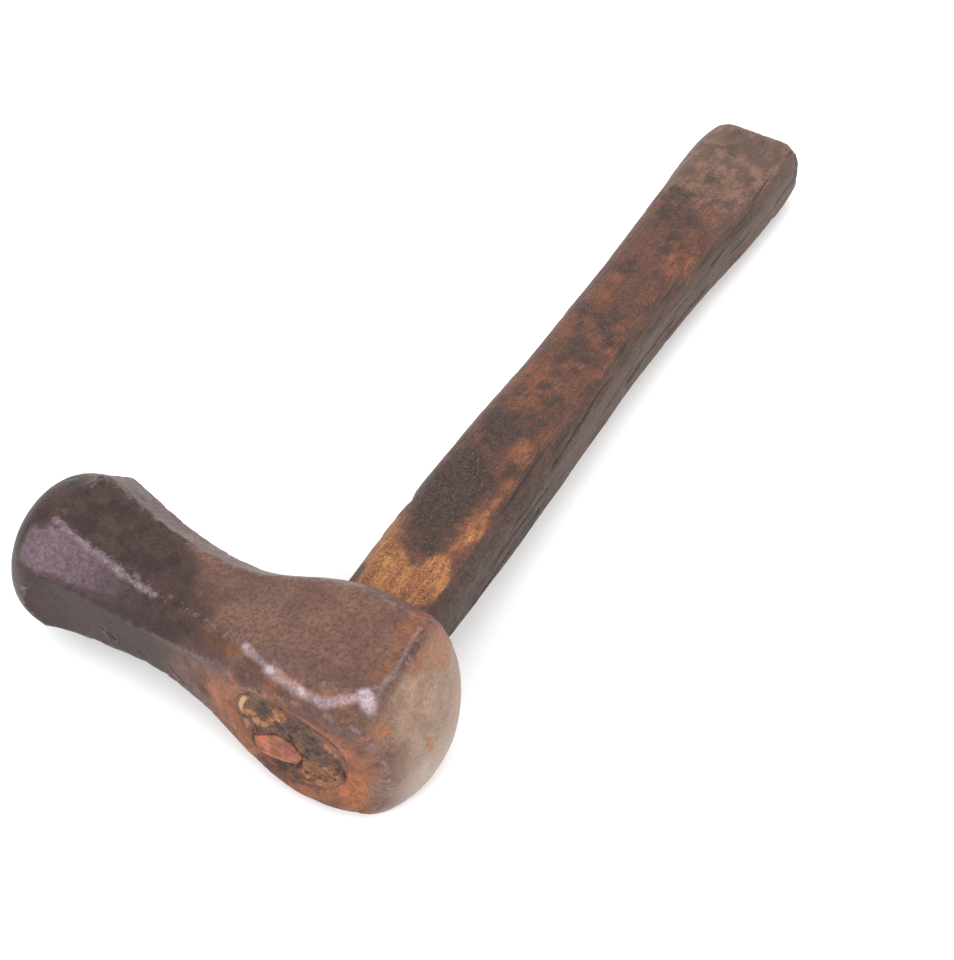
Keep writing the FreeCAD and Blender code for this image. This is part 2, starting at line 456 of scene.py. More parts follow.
def rust_fields(p, n, ragged, below_edge):
    """Brown rust on the near cheek and round the eye, and patches of fresher orange rust."""
    x, y, z = p.T
    cheek = ease(-n[:, 1], 0.35, 0.75)
    front_rust = cheek * ease(x + 4 * ragged, -46, -28) * ease(x + 2 * ragged, 25.5, 20.5)
    front_rust *= 1 - 0.9 * below_edge
    ring = cheek * ease(eye_share(x, z) + 0.12 * ragged, 1.75, 1.15)
    on_cheek = patches(x, z, CHEEK_ORANGE) * cheek
    on_dome = patches(y, z, DOME_ORANGE) * ease(n[:, 0], 0.3, 0.7)
    on_top = patches(x, y, TOP_ORANGE) * ease(n[:, 2], 0.4, 0.7)
    return {
        "rust": np.maximum(0.7 * front_rust, 0.85 * ring),
        "orange": np.maximum(np.maximum(on_cheek, on_dome), on_top),
    }


def edge_fields(p, n, rough, below_edge):
    """Painted highlights along the near top edge, on the domed end and beside the dome crease, partly worn
    iron; dark lines, with painted shade along the crease; and the purple skin beside the near top edge.
    """
    x, y, z = p.T
    top = ease(z, 44, 47)
    top_edge = ease(z, 43, 46)
    side_line = ease(line_distance(x, z, SIDE_RIDGE) + 0.5 * rough, 2.2, 0.8)
    side_line *= ease(-n[:, 1], 0.3, 0.6)
    # painted shade: the dark side of the raised ridge along the dome crease
    crease = ease(line_distance(x, y, DOME_CREASE) + 0.4 * rough, 1.5, 0.2) * top
    # painted highlight: a pale line beside the dome crease
    crease_edge = ease(line_distance(x, y, DOME_CREASE_EDGE) + 0.4 * rough, 0.8, 0.1) * top
    # painted highlight along the near top edge and on the lower domed end
    shine = ease(line_distance(x, y, NEAR_TOP_EDGE) + 0.4 * rough, 1.7, 0.1) * top_edge
    shine = np.maximum(shine, patches(y, z, DOME_SHINE, 0.7) * ease(n[:, 0], 0.4, 0.7))
    spots = patches(x, y, TOP_EDGE_HIGHLIGHTS, 0.6) * top_edge
    return {
        # dark line along the side ridge, and painted shade along the dome crease
        "line": np.maximum(side_line, 0.5 * crease),
        "edge_highlight_and_wear": np.maximum(np.maximum(0.45 * shine, spots), 0.2 * crease_edge),
        "purple": np.maximum(patches(x, y, TOP_PURPLE) * top, 0.95 * below_edge),
    }


# ---------------------------------------------------------------- handle

# The handle's mesh: vertices round each ring, and rings on the end grain, in the eye, along the grip
# and round the butt.
AROUND = 220
DISC_RINGS = 66
EYE_RINGS = 14
GRIP_RINGS = 272
BUTT_RINGS = 50
GRIP_START_Y = 12.0
BUTT_LENGTH = 12.0
LAST_BUTT_TURN = 88.6
# The wood stands this far clear of the wall of the eye.
EYE_GAP = 0.15
# The end of the handle is spread a little over the mouth of the eye.
MUSHROOM = 1.022
# The whole handle stays this far inside the part's box.
INSIDE_BOX = 0.02

# The near cheek, which the end grain is flush with, as its x and y seen from above.
CHEEK_X = (-27.5, -8.5, 12.5, 24.6)
CHEEK_Y = (-19.6, -23.2, -23.5, -20.4)

# Drying cracks in the side, each (first y, last y, z, half width).
CRACKS = (
    (262, 288, 15.5, 0.5), (212, 224, 22, 0.6), (225, 247, 24, 0.5), (150, 190, 18, 0.4),
    (60, 96, 25, 0.5), (96, 140, 30, 0.4), (182, 214, 14, 0.4), (24, 70, 20, 0.5),
)
# Nicks in the side away from the domed end, each (y, x from the axis, radius, radius, strength).
NICKS = ((62, -15.6, 3.2, 1.6, 0.8), (44, -15.6, 2.2, 1.2, 0.5))

# Patches of the end grain, each (x, z, radius, radius, strength).
END_CHAR = (
    (-9, 34.8, 3.8, 3.4, 1.0), (-3, 30, 2.4, 2.6, 0.75), (2, 35.9, 2.6, 2.6, 0.7),
    (7.4, 30.2, 5.0, 4.6, 1.0), (3, 27.5, 3.0, 2.0, 0.8), (15.7, 25.3, 2.6, 3.4, 0.8),
    (-6.5, 9.9, 6.0, 1.8, 1.0), (1.1, 10.5, 4.0, 1.6, 0.6),
)
END_GOLD = (
    (-10.5, 28, 5, 2.6, 1.0), (-15.6, 25, 1.4, 5, 1.0), (-2.5, 35.6, 2.2, 2.2, 1.0),
    (-5.6, 31.4, 2.0, 1.6, 0.9), (14.3, 32.3, 2.4, 2.8, 1.0), (9.5, 17.5, 7.0, 5.6, 0.95),
    (7, 10.2, 4.5, 0.9, 0.9), (12, 13.4, 2.2, 1.6, 0.9), (2.4, 32.4, 1.8, 1.4, 0.7),
)
END_GAPS = (
    (4.8, 22.6, 1.1, 0.8, 1.0), (17, 22, 0.5, 2.0, 1.0), (-13.4, 18, 0.5, 3.0, 0.7),
    (-11.5, 22.8, 1.0, 0.7, 0.6), (-6, 12.4, 7, 0.6, 0.8), (0.6, 28.2, 0.5, 1.8, 0.7),
    (-2, 40, 2.4, 0.6, 0.8), (9, 38.6, 5, 0.5, 0.6),
)
# A pale lip on the rim, as (distance from the middle, degrees, reach, reach in degrees, strength).
END_LIP = ((16.7, 159, 0.8, 21, 1.0),)

# Patches on top of the grip, each (y, x from the axis, radius, radius, strength).
GRIP_GOLD = (
    (31, -3, 13, 13, 0.80), (34, 7.5, 14, 4.5, 0.95), (43, -11, 11, 5, 0.85), (60, 8.5, 12, 3.4, 0.72),
    (76, 8.5, 10, 3.0, 0.55), (99, 5.5, 9, 4.0, 0.56), (70, 9.5, 1.4, 1.2, 0.8), (143, 7, 10, 5, 0.42),
    (152, -6, 9, 7, 0.40), (199, 8, 8, 5, 0.44), (112, 0, 7, 8, 0.40), (230, 8, 7, 4, 0.38),
    (176, -8, 9, 7, 0.38), (122, -8, 8, 7, 0.40),
)
GRIP_CHAR = (
    (68, -3, 25, 10, 0.95), (50, -1, 8, 8, 0.7), (86, -6, 9, 8, 0.72), (99, -4, 10, 8, 0.68),
    (113, 5, 4, 5, 0.58), (141, 2, 7, 8, 0.60), (161, 0, 5, 6, 0.56), (221, -2, 8, 9, 0.62),
    (233, -9, 8, 6, 0.55), (208, 3, 5, 5, 0.48), (186, -7, 6, 6, 0.44), (128, 12, 10, 3, 0.45),
    (92, 14, 40, 3.0, 0.45), (249, -4, 5, 10, 0.42), (238, -8, 6, 6, 0.62), (268, -6, 3.5, 9, 0.50),
    (108, 4, 7, 4, 0.55), (27, -12, 6, 2.4, 0.55), (42, 1, 5, 3, 0.45),
)
BUTT_OLIVE = ((277, 0, 7, 13, 0.9),)


def along_axis(y):
    """0 at the start of the handle's axis, 1 at its end."""
    return (y - AXIS_START[1]) / (AXIS_END[1] - AXIS_START[1])


def axis_x(y):
    return AXIS_START[0] + along_axis(y) * (AXIS_END[0] - AXIS_START[0])


def axis_z(y):
    return AXIS_START[2] + along_axis(y) * (AXIS_END[2] - AXIS_START[2])


def eye_wall(angle, y, share=1.0):
    """A point on the tapering end of the handle, where the eye holds it."""
    t = (y - EYE_NEAR_Y) / (EYE_FAR_Y - EYE_NEAR_Y)
    half_x = EYE_NEAR[0] + t * (EYE_FAR[0] - EYE_NEAR[0]) - EYE_GAP
    half_z = EYE_NEAR[1] + t * (EYE_FAR[1] - EYE_NEAR[1]) - EYE_GAP
    return (EYE_X + share * half_x * math.cos(angle), y, EYE_Z + share * half_z * math.sin(angle))


def cast(tree, y, angle, turn):
    """Where a ray from the handle's axis leaves the wood; turn leans it towards the butt."""
    outward = Vector((math.cos(angle), 0, math.sin(angle)))
    ray = outward * math.cos(turn) + Vector((0, 1, 0)) * math.sin(turn)
    return tuple(tree.ray_cast(Vector((axis_x(y), y, axis_z(y))), ray)[0])


def handle_rings(low_y, high_y):
    """Every ring of the handle's mesh, from the middle of the end grain to the butt."""
    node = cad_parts["handle"].data
    corners = [v.co / MM for v in node.vertices]
    tree = BVHTree.FromPolygons(corners, [tuple(f.vertices) for f in node.polygons])
    angles = np.arange(AROUND) * (2 * math.pi / AROUND)
    rings = []
    for k in range(DISC_RINGS):
        share = (k + 1) / DISC_RINGS
        rings.append([eye_wall(a, low_y, share * MUSHROOM) for a in angles])
    for y in np.linspace(low_y + 3.0, GRIP_START_Y - 2, EYE_RINGS):
        rings.append([eye_wall(a, y) for a in angles])
    butt_y = high_y - BUTT_LENGTH
    for y in np.linspace(GRIP_START_Y, butt_y, GRIP_RINGS):
        rings.append([cast(tree, y, a, 0.0) for a in angles])
    for turn in np.linspace(0, math.radians(LAST_BUTT_TURN), BUTT_RINGS + 1)[1:]:
        rings.append([cast(tree, butt_y, a, turn) for a in angles])
    ends = [(EYE_X, low_y, EYE_Z), cast(tree, butt_y, 0.0, math.pi / 2)]
    return np.array(rings).reshape(-1, 3), np.array(ends), len(rings)


def ring_mesh(name, points, ends, count):
    """A closed skin over rings of points, with a fan at each end."""
    first_end = count * AROUND
    faces = []
    for r in range(count - 1):
        for k in range(AROUND):
            a = r * AROUND + k
            b = r * AROUND + (k + 1) % AROUND
            faces.append((a, b, b + AROUND, a + AROUND))
    for k in range(AROUND):
        faces.append((first_end, (k + 1) % AROUND, k))
        last = (count - 1) * AROUND
        faces.append((first_end + 1, last + k, last + (k + 1) % AROUND))
    mesh = bpy.data.meshes.new(name)
    mesh.from_pydata((np.vstack([points, ends]) * MM).tolist(), [], faces)
    work = bmesh.new()
    work.from_mesh(mesh)
    bmesh.ops.recalc_face_normals(work, faces=work.faces)
    work.to_mesh(mesh)
    work.free()
    return mesh


def make_handle():
    """One length of wood: the end grain in the eye, the grip and the rounded butt."""
    low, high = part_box("handle")
    points, ends, count = handle_rings(low.y / MM, high.y / MM)
    mesh = ring_mesh("wooden_handle", points, ends, count)
    p = coordinates(mesh)
    n = normals(mesh)
    in_eye = ease(p[:, 1], low.y / MM + 3.2, low.y / MM + 2.6)
    on_face = ease(p[:, 1], low.y / MM + 0.3, low.y / MM + 0.1)
    on_grip = ease(p[:, 1], 14, 20)
    checks = drying_checks(p, n)
    relief = grip_relief(p, checks)
    p = p + n * (relief * on_grip * (1 - in_eye))[:, None]
    depth, fields = end_grain(p)
    p[:, 1] += depth * on_face
    p = keep_in_box(p, cad_low, cad_high, INSIDE_BOX)
    set_coordinates(mesh, p)

    grip = grip_fields(p, normals(mesh))
    for name, values in fields.items():
        grip[name] = np.maximum(grip.get(name, 0) * (1 - in_eye), values * in_eye)
    grip["end_grain"] = in_eye
    side_cracks = np.maximum(0.8 * checks, long_cracks(p))
    grip["crack"] = np.maximum(side_cracks * (1 - in_eye), fields["crack"] * in_eye)
    store(mesh, **grip)
    piece = linked("wooden_handle", mesh)
    finish_piece(piece, "handle", wood_material())
    return piece


def drying_checks(p, n):
    """Fine splits along the grain, mostly in the handle's two sides."""
    on_side = ease(n[:, 0], 0.3, 0.7) + ease(-n[:, 0], 0.3, 0.7)
    return ease(value_noise(p, (1.2, 26, 1.2), 121), 0.5, 0.75) * np.clip(on_side, 0.15, 1)


def grip_relief(p, checks):
    """How far the worn grain, the dents, the nicks and the splits move the wood, in millimetres."""
    x, y, _ = p.T
    # grain runs along the handle, so noise is stretched along it
    grain = fractal(p, (1.1, 26, 1.1), 101, 3)
    swell = 0.32 * fractal(p, (17, 34, 17), 111, 3)
    dents = ease(value_noise(p, (5, 8, 5), 131), 0.45, 0.8)
    nick = patches(y, x - axis_x(y), NICKS, 0.6)
    relief = swell + 0.10 * grain - 0.22 * checks - 0.30 * dents - 0.9 * nick - 0.1
    return relief - 0.7 * long_cracks(p)


def long_cracks(p):
    """1 on the thin wavy cracks in the side of the handle."""
    x, y, z = p.T
    wave = 0.5 * value_noise(p, (40, 9, 40), 141)
    side = ease(x - axis_x(y), 8, 12)
    total = np.zeros(len(p))
    for first, last, height, width in CRACKS:
        along = ease(y, first - 2, first + 5) * ease(y, last + 2, last - 5)
        across = np.abs(z - height - wave)
        total = np.maximum(total, along * side * ease(across, width, width * 0.3))
    return total


def end_grain(p):
    """Depth below the flush end, and the colours of the split, charred wood round the wedges."""
    x = p[:, 0] + 0.5 * value_noise(p, 3.0, 151)
    z = p[:, 2] + 0.5 * value_noise(p, 3.0, 161)
    # splintered fibres lean from lower left to upper right
    along = 0.72 * x + 0.69 * z
    across = -0.69 * x + 0.72 * z
    fibres = fractal(np.stack([along / 3, across, 0 * x], -1), 1.3, 171, 4)
    frayed = fractal(p, (1.3, 9, 1.3), 193, 3)
    rim = ease(eye_share(x, z), 0.86, 0.97)
    from_middle = np.hypot(x - EYE_X, z - EYE_Z)
    round_middle = np.degrees(np.arctan2(z - EYE_Z, x - EYE_X))
    lip = patches(from_middle, round_middle, END_LIP, 0.6)
    gaps = patches(x, z, END_GAPS, 0.5)
    gold = np.clip(patches(x, z, END_GOLD) * (0.85 + 0.5 * fibres + 0.6 * frayed), 0, 1)
    char = patches(x, z, END_CHAR) * (0.85 + 0.3 * fractal(p, 2.2, 191, 3) - 0.5 * frayed)
    char = np.clip(char, 0, 1)
    groove = wedge_groove(x, z)
    wedges = np.maximum(within(p[:, 0], p[:, 2], STEEL_OUTLINE), within(p[:, 0], p[:, 2], WOODEN_OUTLINE))
    depth = np.interp(x, CHEEK_X, CHEEK_Y) - p[:, 1] + 0.1
    depth += (1 - 0.8 * rim) * (0.25 + 0.28 * fibres + 0.35 * char - 0.25 * gold)
    depth += 0.8 * gaps - 0.3 * lip
    depth += 0.6 * groove + 1.6 * wedges
    depth += 0.5 * fractal(p, 6, 181, 2) - 0.16 * frayed * (1 - rim)
    split = np.maximum(0.9 * gaps, 0.7 * groove)
    return np.clip(depth, -1.3, 4.0), {
        "char": 0.78 * char,
        "gold": np.clip(1.15 * gold, 0, 1) * (1 - 0.5 * char),
        "lip": lip,
        "crack": np.maximum(split, ease(fibres, -0.55, -1.0) * 0.7),
        "fibre": 0.5 + 0.5 * fibres,
        "rust_rim": 0.9 * rim * (1 - lip),
    }


def wedge_groove(x, z):
    """1 along the upper right side of the iron wedge, where the wood has parted from it."""
    closed = STEEL_OUTLINE + STEEL_OUTLINE[:1]
    return ease(line_distance(x, z, closed), 1.0, 0.3) * (z > 16 - 0.2 * x) * ease(x, -7, -1)


def within(a, b, outline):
    """1 for the points inside a convex outline drawn clockwise, 0 for the others."""
    inside = np.ones(len(a), bool)
    for (a0, b0), (a1, b1) in zip(outline, outline[1:] + outline[:1]):
        inside &= (a1 - a0) * (b - b0) - (b1 - b0) * (a - a0) <= 0
    return inside.astype(float)


def grip_fields(p, n):
    """Where the grip is golden, charred, greasy or pale."""
    x, y, _ = p.T
    u = x - axis_x(y) + 1.6 * value_noise(p, (6, 12, 6), 191)
    v = y + 5 * fractal(p, (7, 14, 7), 201, 3)
    up = ease(n[:, 2], 0.25, 0.6)
    gold = patches(v, u, GRIP_GOLD) * up
    char = patches(v, u, GRIP_CHAR, 0.5) * up
    char = np.maximum(char, 0.55 * ease(n[:, 0], 0.5, 0.85) * ease(y, 150, 80))
    grime_by_head = ease(y, 24.5, 21.5)
    return {
        "gold": gold * (1 - 0.85 * char),
        "char": np.maximum(char, grime_by_head),
        "side": ease(n[:, 0], 0.45, 0.85),
        "olive": patches(v, u, BUTT_OLIVE) * up,
        "pale_end": ease(v, 192, 285),
    }


# ---------------------------------------------------------------- wedges

WEDGE_VOXEL = 0.22
# The share of a wedge's width and thickness that is left halfway in, and at the edge that went in first.
WEDGE_MIDDLE = (1.0, 0.96)
WEDGE_EDGE = (0.82, 0.2)


def wedge_block(name, outline, middle_y, front_y, back_y, rounding):
    """A driven wedge: its visible outline (x, z) at the front, narrowed to an edge inside the wood."""
    centre = np.mean(outline, axis=0)
    work = bmesh.new()
    rings = []
    for y, size, thin in ((front_y, 1.0, 1.0), (middle_y, *WEDGE_MIDDLE), (back_y, *WEDGE_EDGE)):
        ring = []
        for px, pz in outline:
            x = centre[0] + (px - centre[0]) * size
            z = centre[1] + (pz - centre[1]) * thin
            ring.append(work.verts.new((x * MM, y * MM, z * MM)))
        rings.append(ring)
    count = len(outline)
    for a, b in zip(rings, rings[1:]):
        for k in range(count):
            work.faces.new((a[k], a[(k + 1) % count], b[(k + 1) % count], b[k]))
    work.faces.new(rings[0])
    work.faces.new(rings[-1])
    bmesh.ops.recalc_face_normals(work, faces=work.faces)
    mesh = bpy.data.meshes.new(name)
    work.to_mesh(mesh)
    work.free()
    piece = linked(name, mesh)
    bevel = piece.modifiers.new("edges", "BEVEL")
    bevel.width = rounding * MM
    bevel.segments = 3
    bevel.limit_method = "ANGLE"
    return voxel_remesh(piece, WEDGE_VOXEL)


def make_steel_wedge():
    """The iron wedge, hammered flush and rusted."""
    low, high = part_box("steel_wedge")
    front = low.y / MM
    piece = wedge_block("driven_iron_wedge", STEEL_OUTLINE, front + 8, front, high.y / MM, 0.3)
    mesh = piece.data
    pairs = edge_pairs(mesh)
    p = smooth(coordinates(mesh), pairs, 2, 0.5)
    set_coordinates(mesh, p)
    n = normals(mesh)
    p = p + n * (0.26 * fractal(p, 5, 211, 3) + 0.08 * fractal(p, 1.2, 221, 2) - 0.12)[:, None]
    p[:, 1] = np.maximum(p[:, 1], front)
    set_coordinates(mesh, p)
    store(
        mesh,
        bright=patches(p[:, 0], p[:, 2], ((-10.4, 20.8, 2.6, 1.2, 1.0),)),
        dark=ease(p[:, 1], front + 0.8, front + 2.0),
    )
    finish_piece(piece, "steel_wedge", wedge_iron_material())
    return piece


def make_wooden_wedge():
    """The wooden wedge beside it, crushed and split along its grain."""
    low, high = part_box("wooden_wedge")
    front = low.y / MM
    piece = wedge_block("split_wooden_wedge", WOODEN_OUTLINE, front + 10, front - 0.5, high.y / MM, 0.4)
    mesh = piece.data
    p = smooth(coordinates(mesh), edge_pairs(mesh), 3, 0.5)
    set_coordinates(mesh, p)
    n = normals(mesh)
    grain = fractal(p, (3.5, 9, 0.7), 231, 3)
    p = p + n * (0.4 * grain + 0.35 * fractal(p, 4, 241, 2) - 0.2)[:, None]
    set_coordinates(mesh, p)
    store(mesh, crack=ease(-grain, 0.5, 1.1), gold=ease(fractal(p, 5, 251, 2), -0.6, 0.6))
    finish_piece(piece, "wooden_wedge", wedge_wood_material())
    return piece


# ---------------------------------------------------------------- materials

def colour(red, green, blue):
    """A colour given as 0 to 255, as a shader takes it."""
    parts = []
    for c in (red, green, blue):
        c /= 255
        parts.append(c / 12.92 if c <= 0.04045 else ((c + 0.055) / 1.055) ** 2.4)
    return (*parts, 1.0)


class Recipe:
    """A material's nodes, added one after another. Places and sizes are in millimetres."""

    def __init__(self, name):
        self.material = bpy.data.materials.new(name)
        self.material.use_nodes = True
        self.tree = self.material.node_tree
        self.shader = self.tree.nodes["Principled BSDF"]
        self.place = self.node("ShaderNodeVectorMath", operation="SCALE")
        self.tree.links.new(self.node("ShaderNodeTexCoord").outputs["Object"], self.place.inputs[0])
        self.place.inputs["Scale"].default_value = 1 / MM
        self.normal = None

    def node(self, kind, **settings):
        """A new shader node of some kind, with its settings."""
        made = self.tree.nodes.new(kind)
        for key, value in settings.items():
            setattr(made, key, value)
        return made

    def put(self, socket, value):
        """Links another node's output to a socket, or sets the socket to a constant."""
        if isinstance(value, bpy.types.NodeSocket):
            self.tree.links.new(value, socket)
        else:
            socket.default_value = value

    def field(self, name):
        """A number stored on the mesh."""
        return self.node("ShaderNodeAttribute", attribute_name=name).outputs["Fac"]

    def where(self, stretch, turn=(0, 0, 0)):
        """The place on the piece, stretched by a factor along each axis and turned."""
        mapping = self.node("ShaderNodeMapping")
        mapping.inputs["Scale"].default_value = [1 / s for s in stretch]
        mapping.inputs["Rotation"].default_value = [math.radians(t) for t in turn]
        self.tree.links.new(self.place.outputs[0], mapping.inputs["Vector"])
        return mapping.outputs[0]

    def noise(self, size, detail=4.0, roughness=0.55, stretch=(1, 1, 1), distortion=0.0, turn=(0, 0, 0)):
        """Noise from 0 to 1, with blobs about size across."""
        made = self.node("ShaderNodeTexNoise")
        self.tree.links.new(self.where(stretch, turn), made.inputs["Vector"])
        made.inputs["Scale"].default_value = 1 / size
        made.inputs["Detail"].default_value = detail
        made.inputs["Roughness"].default_value = roughness
        made.inputs["Distortion"].default_value = distortion
        return made.outputs["Fac"]

    def span(self, value, low, high, to_low=0.0, to_high=1.0):
        """A soft step: to_low where value is at low, to_high where it is at high."""
        made = self.node("ShaderNodeMapRange", interpolation_type="SMOOTHSTEP")
        self.put(made.inputs["Value"], value)
        made.inputs["From Min"].default_value = low
        made.inputs["From Max"].default_value = high
        made.inputs["To Min"].default_value = to_low
        made.inputs["To Max"].default_value = to_high
        return made.outputs["Result"]

    def combine(self, operation, a, b):
        """One of a Math node's operations on two numbers."""
        made = self.node("ShaderNodeMath", operation=operation)
        self.put(made.inputs[0], a)
        self.put(made.inputs[1], b)
        return made.outputs[0]

    def times(self, a, b):
        return self.combine("MULTIPLY", a, b)

    def plus(self, a, b):
        return self.combine("ADD", a, b)

    def blend(self, share, a, b):
        """Colour a where share is 0, colour b where it is 1."""
        made = self.node("ShaderNodeMix", data_type="RGBA")
        self.put(made.inputs[0], share)
        self.put(made.inputs[6], a)
        self.put(made.inputs[7], b)
        return made.outputs[2]

    def broken(self, name, noise, spread, soft):
        """A stored field with its edge broken up by noise."""
        shifted = self.plus(self.field(name), self.times(self.combine("SUBTRACT", noise, 0.5), spread))
        inside = self.span(shifted, 0.5 - soft, 0.5 + soft)
        return self.times(inside, self.span(self.field(name), 0.0, 0.12))

    def bump(self, height, depth):
        """Adds fine relief that is too small for the mesh."""
        made = self.node("ShaderNodeBump")
        made.inputs["Distance"].default_value = depth * MM
        self.put(made.inputs["Height"], height)
        if self.normal is not None:
            self.tree.links.new(self.normal, made.inputs["Normal"])
        self.normal = made.outputs[0]

    def done(self, base, roughness, metallic, specular):
        """Connects the shader and gives the finished material."""
        self.put(self.shader.inputs["Base Color"], base)
        self.put(self.shader.inputs["Roughness"], roughness)
        self.put(self.shader.inputs["Metallic"], metallic)
        self.shader.inputs["Specular IOR Level"].default_value = specular
        if self.normal is not None:
            self.tree.links.new(self.normal, self.shader.inputs["Normal"])
        return self.material


def iron_material():
    """Forged iron under a brown skin: dark scale on the neck, rust round the eye, worn edges, painted
    highlights, a painted lilac sheen and painted shade.
    """
    r = Recipe("forged_iron")
    cloud = r.noise(14, 4, 0.6)
    blotch = r.noise(5, 5, 0.65)
    grit = r.noise(1.3, 5, 0.7)
    grain = r.noise(0.55, 3, 0.6)
    scratch = r.noise(0.7, 3, 0.6, stretch=(8, 0.6, 3), turn=(0, 0, 24))
    rusty = r.broken("rust", blotch, 1.1, 0.3)
    wear_plus_highlight = pale_iron_and_highlights(r, grit)
    base = iron_skin(r, cloud, blotch, grit)
    base = rust_layers(r, base, rusty, cloud, blotch, grit)
    base = r.blend(r.times(r.field("sunk"), 0.5), base, colour(34, 22, 19))
    # dark lines: the line along the neck's side ridge, and painted shade along the dome crease
    base = r.blend(r.times(r.field("line"), 0.7), base, colour(40, 27, 25))
    # pale lilac-white iron: worn edges and ridges, and painted highlights along the near top edge, on the
    # domed end and beside the dome crease
    base = r.blend(r.times(wear_plus_highlight, 0.85), base, colour(184, 168, 176))
    base = r.blend(r.span(grain, 0.54, 0.72, 0, 0.13), base, colour(140, 112, 102))
    base = r.blend(r.span(grain, 0.46, 0.32, 0, 0.40), base, colour(28, 18, 16))
    r.bump(blotch, 0.25)
    r.bump(grit, 0.22)
    r.bump(grain, 0.08)
    r.bump(scratch, 0.03)
    rough = r.plus(r.span(blotch, 0.3, 0.7, 0.42, 0.54), r.times(rusty, 0.14))
    rough = r.combine("SUBTRACT", rough, r.times(wear_plus_highlight, 0.14))
    return r.done(base, rough, r.plus(r.times(wear_plus_highlight, 0.4), 0.15), 0.26)


def iron_skin(r, cloud, blotch, grit):
    """Brown skin, dark scale, the purple edge, the paler domed end, the painted lilac sheen of the front
    facet and the far side.
    """
    tan = r.blend(r.span(cloud, 0.35, 0.65), colour(88, 60, 51), colour(110, 80, 66))
    tan = r.blend(r.span(grit, 0.42, 0.62, 0, 0.7), tan, colour(70, 46, 39))
    dark = r.blend(r.span(blotch, 0.35, 0.65), colour(36, 22, 20), colour(60, 42, 38))
    crown = r.blend(r.span(blotch, 0.35, 0.65), colour(118, 95, 80), colour(140, 115, 97))
    crown = r.blend(r.span(grit, 0.45, 0.65, 0, 0.45), crown, colour(98, 72, 58))
    crown = r.blend(r.times(r.field("low"), 0.5), crown, colour(152, 136, 126))
    # painted sheen: the lilac colour of the highlight on the neck's front facet
    lilac = r.blend(r.span(grit, 0.35, 0.62), colour(96, 78, 87), colour(74, 57, 64))
    far = r.blend(r.span(grit, 0.35, 0.62), colour(108, 84, 78), colour(66, 46, 43))
    base = r.blend(r.broken("dark", blotch, 0.9, 0.42), tan, dark)
    base = r.blend(r.times(r.field("purple"), 0.75), base, colour(68, 46, 46))
    base = r.blend(r.field("crown"), base, crown)
    # painted lilac sheen on the neck's front facet, and the ridge beside it
    base = r.blend(r.broken("lilac_sheen_and_ridge", blotch, 0.4, 0.5), base, lilac)
    base = r.blend(r.times(r.field("shade"), 0.7), base, colour(30, 16, 14))
    return r.blend(r.times(r.field("far"), 0.7), base, far)


def rust_layers(r, base, rusty, cloud, blotch, grit):
    """Brown rust, and fresher orange rust over it."""
    rust = r.blend(r.span(cloud, 0.42, 0.58), colour(76, 45, 32), colour(122, 74, 46))
    rust = r.blend(r.span(blotch, 0.50, 0.66, 0, 0.5), rust, colour(62, 38, 31))
    rust = r.blend(r.span(grit, 0.46, 0.64, 0, 0.35), rust, colour(72, 44, 32))
    orange = r.blend(r.span(blotch, 0.38, 0.62), colour(150, 88, 50), colour(116, 66, 40))
    orange = r.blend(r.span(grit, 0.46, 0.64, 0, 0.4), orange, colour(92, 52, 33))
    fresh = r.broken("orange", r.noise(3.2, 5, 0.7), 0.8, 0.4)
    base = r.blend(r.times(rusty, 0.85), base, rust)
    return r.blend(r.times(fresh, 0.8), base, orange)


def pale_iron_and_highlights(r, grit):
    """Where the iron is pale: worn edges and ridges, and painted highlights along the near top edge, on
    the domed end and beside the dome crease.
    """
    worn = r.times(r.field("worn"), r.span(r.noise(2.2, 4, 0.7), 0.45, 0.6, 0, 0.18))
    shine = r.times(r.field("edge_highlight_and_wear"), r.span(grit, 0.40, 0.6, 1.0, 0.55))
    ridge = r.times(r.field("ridge_line"), r.span(grit, 0.45, 0.6, 0.05, 0.3))
    return r.combine("MAXIMUM", worn, r.combine("MAXIMUM", shine, ridge))


def wood_material():
    """Old ash: golden where the head's grime stops, charred above, red-brown and greasy along the grip."""
    r = Recipe("handle_wood")
    grain = r.noise(0.8, 5, 0.65, stretch=(1, 18, 1), distortion=0.3)
    lines = r.noise(0.4, 3, 0.6, stretch=(1, 34, 1))
    cloud = r.noise(16, 4, 0.6, stretch=(1, 1.5, 1))
    blotch = r.noise(5, 6, 0.7, stretch=(1, 1.5, 1))
    grit = r.noise(1.0, 5, 0.75)
    flecks = r.noise(0.36, 3, 0.6, stretch=(1, 2.0, 1))
    edge = r.noise(3.0, 6, 0.78, stretch=(1, 2.0, 1))
    burnt = r.broken("char", r.noise(4.4, 6, 0.78), 1.9, 0.3)
    black = r.blend(r.span(grit, 0.4, 0.62), colour(28, 20, 18), colour(66, 50, 43))
    base = old_wood(r, grain, cloud, blotch, grit)
    base = r.blend(r.broken("gold", edge, 1.9, 0.34), base, golden_wood(r, grain, lines, grit, flecks))
    base = r.blend(r.times(r.field("olive"), 0.6), base, colour(54, 44, 34))
    base = r.blend(r.times(burnt, 0.92), base, black)
    base = r.blend(r.span(lines, 0.56, 0.70, 0, 0.5), base, colour(30, 19, 15))
    base = r.blend(r.span(flecks, 0.60, 0.70, 0, 0.42), base, colour(162, 126, 98))
    base = end_of_handle(r, base, blotch, grit)
    base = r.blend(r.times(r.field("crack"), 0.85), base, colour(22, 15, 13))
    r.bump(blotch, 0.25)
    r.bump(grain, 0.25)
    r.bump(grit, 0.18)
    r.bump(flecks, 0.08)
    rough = r.plus(r.span(blotch, 0.3, 0.7, 0.5, 0.66), r.times(burnt, 0.08))
    return r.done(base, rough, 0.0, 0.3)


